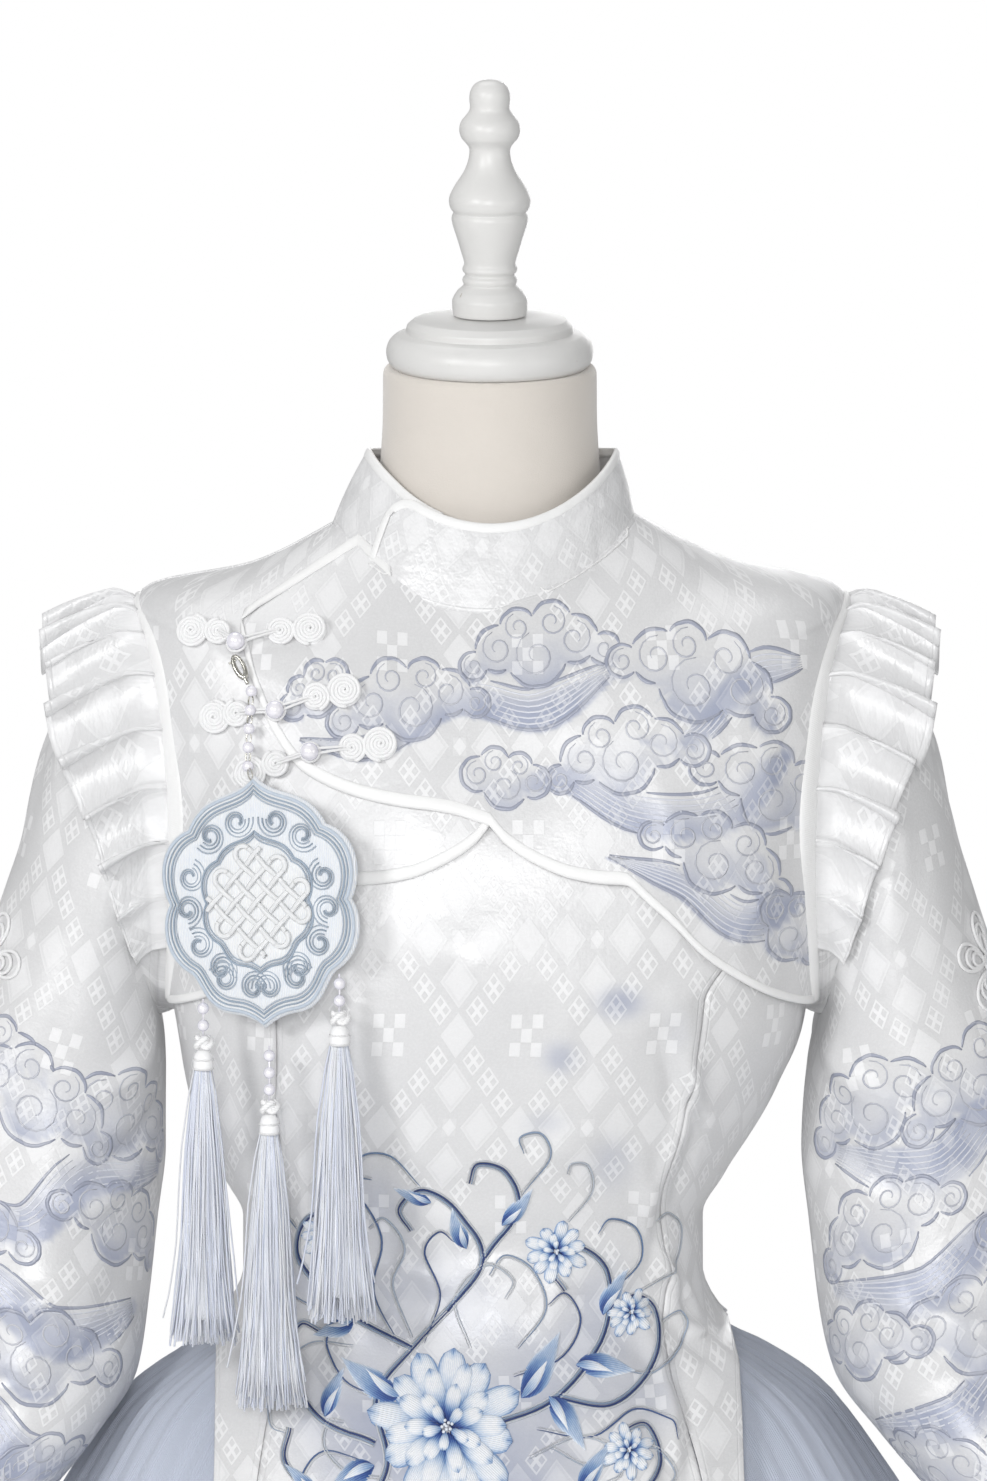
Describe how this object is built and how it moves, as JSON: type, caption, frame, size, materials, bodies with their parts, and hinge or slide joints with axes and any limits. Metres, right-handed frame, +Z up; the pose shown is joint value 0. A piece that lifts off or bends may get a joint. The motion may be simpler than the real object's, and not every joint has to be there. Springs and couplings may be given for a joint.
{
  "type": "chinese lolita dress set on a limbless dress form",
  "caption": "Satin mandarin-collared tunic with scalloped yoke, ruffled shoulders, long sleeves, belled chiffon skirt and tasselled charm, on a limbless dress form with a round foot.",
  "frame": {"origin": "centre of the stand's foot, on the floor", "axes": "+Z up, +X to the wearer's left, -Y to the front"},
  "size_m": [0.7668, 0.6065, 1.6381],
  "materials": {
    "painted_wood": "white paint, satin",
    "linen": "cream woven cover",
    "satin": "white jacquard satin with grey-blue printed panels",
    "binding_satin": "white satin",
    "chiffon": "grey-blue chiffon",
    "pearl": "pearl",
    "cord": "white satin cord",
    "lilac_thread": "rayon thread",
    "silver": "polished",
    "embroidery": "satin-stitch embroidery"
  },
  "bodies": {
    "root": {"armhole_binding_left": "binding_satin", "armhole_binding_right": "binding_satin", "back": "satin", "back_yoke_binding": "binding_satin", "charm_beads_left": "pearl", "charm_beads_middle": "pearl", "charm_beads_right": "pearl", "charm_chain": "pearl", "charm_clasp": "silver", "charm_plaque": "embroidery", "charm_tassel_left": "lilac_thread", "charm_tassel_middle": "lilac_thread", "charm_tassel_right": "lilac_thread", "collar": "satin", "collar_binding": "binding_satin", "form_base": "painted_wood", "form_finial": "painted_wood", "form_neck_cap": "painted_wood", "form_pole": "painted_wood", "form_torso": "linen", "frog_bottom_knots": "cord", "frog_bottom_loops": "cord", "frog_bottom_pearl": "pearl", "frog_middle_knots": "cord", "frog_middle_loops": "cord", "frog_middle_pearl": "pearl", "frog_top_knots": "cord", "frog_top_loops": "cord", "frog_top_pearl": "pearl", "front_centre": "satin", "front_side_left": "satin", "front_side_right": "satin", "overlap_binding": "binding_satin", "overlap_top_binding": "binding_satin", "ruffle_left": "satin", "ruffle_right": "satin", "skirt": "chiffon", "skirt_waistband": "chiffon", "sleeve_flower_left_lower": "cord", "sleeve_flower_left_upper": "cord", "sleeve_flower_right_lower": "cord", "sleeve_flower_right_upper": "cord", "sleeve_left": "satin", "sleeve_right": "satin", "underlap_binding": "binding_satin", "yoke_back": "satin", "yoke_overlap": "satin", "yoke_underlap": "satin"}
  },
  "joints": []
}
